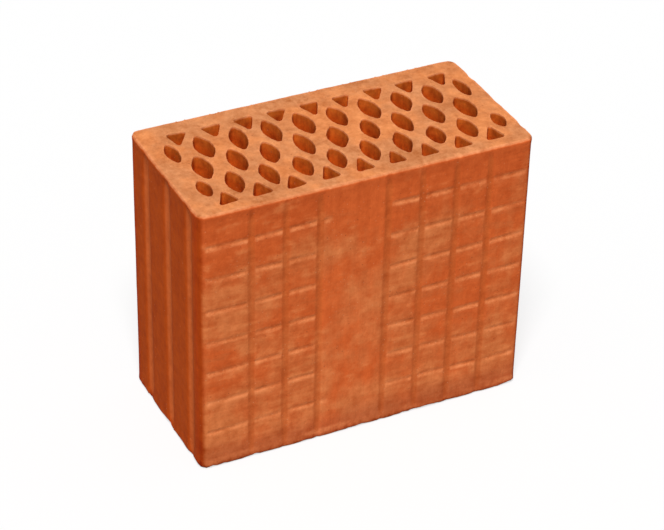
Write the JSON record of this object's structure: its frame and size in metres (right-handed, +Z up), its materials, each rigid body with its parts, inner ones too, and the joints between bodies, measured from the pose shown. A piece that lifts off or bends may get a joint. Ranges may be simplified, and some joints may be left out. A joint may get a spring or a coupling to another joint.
{
  "type": "vertically perforated clay block",
  "caption": "Tall fired-clay masonry block with a lattice of vertical lens-shaped and triangular perforations, grooved headers and scored long faces.",
  "frame": {"origin": "middle of the bottom bed face", "axes": "+X along the block's length, +Y across its width from the front face to the back face, +Z up, along the perforations"},
  "size_m": [0.25, 0.12, 0.208],
  "materials": {
    "fired_clay": "matt, fired and unglazed"
  },
  "bodies": {
    "root": {"clay_block": "fired_clay"}
  },
  "joints": []
}
